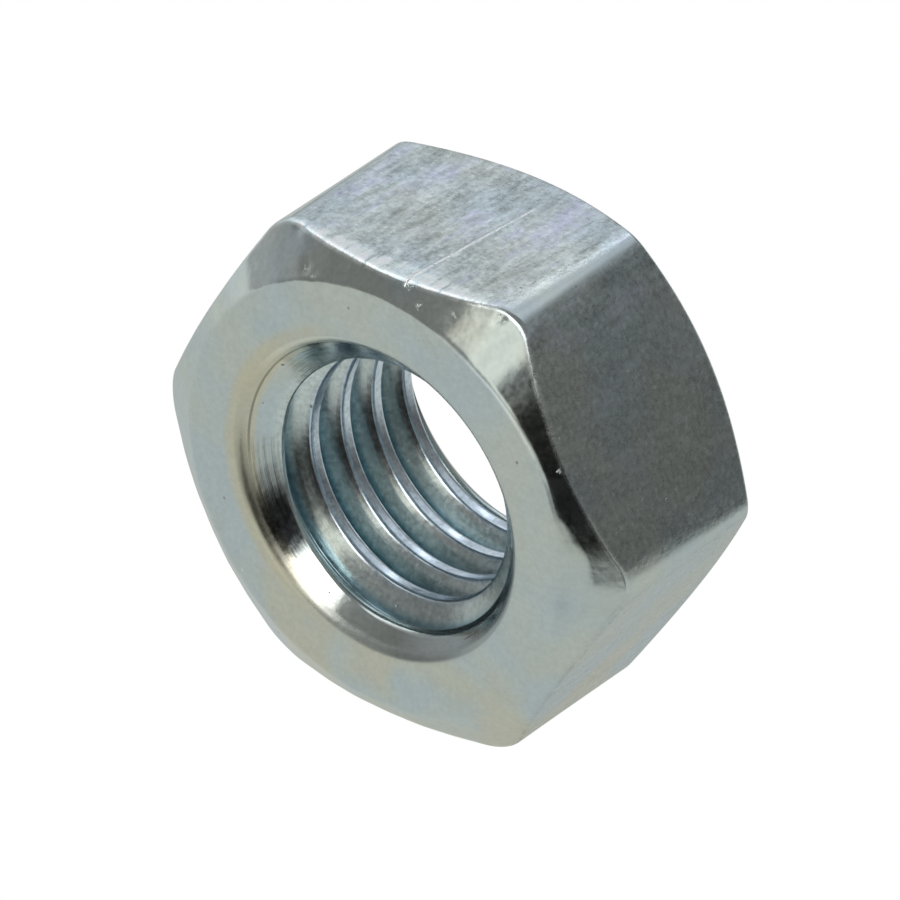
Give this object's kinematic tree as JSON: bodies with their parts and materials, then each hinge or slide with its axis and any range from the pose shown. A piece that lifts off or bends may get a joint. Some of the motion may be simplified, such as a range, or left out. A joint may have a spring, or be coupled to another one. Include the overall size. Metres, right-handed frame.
{
  "type": "hex nut",
  "caption": "Plain hexagon nut, chamfered on both faces, with a countersunk right-hand tapped hole through it.",
  "frame": {"origin": "on the thread axis at mid-thickness, which is also the centre of the nut's box", "axes": "+Y along the thread from the front face to the back face, +Z the outward normal of the upper wrench flat, X from corner to corner; the nut stands on its lower flat"},
  "size_m": [0.0148, 0.0066, 0.013],
  "materials": {
    "zinc_plated_steel": "bright zinc plate, clear blue passivated"
  },
  "bodies": {
    "root": {"hex_nut": "zinc_plated_steel"}
  },
  "joints": []
}
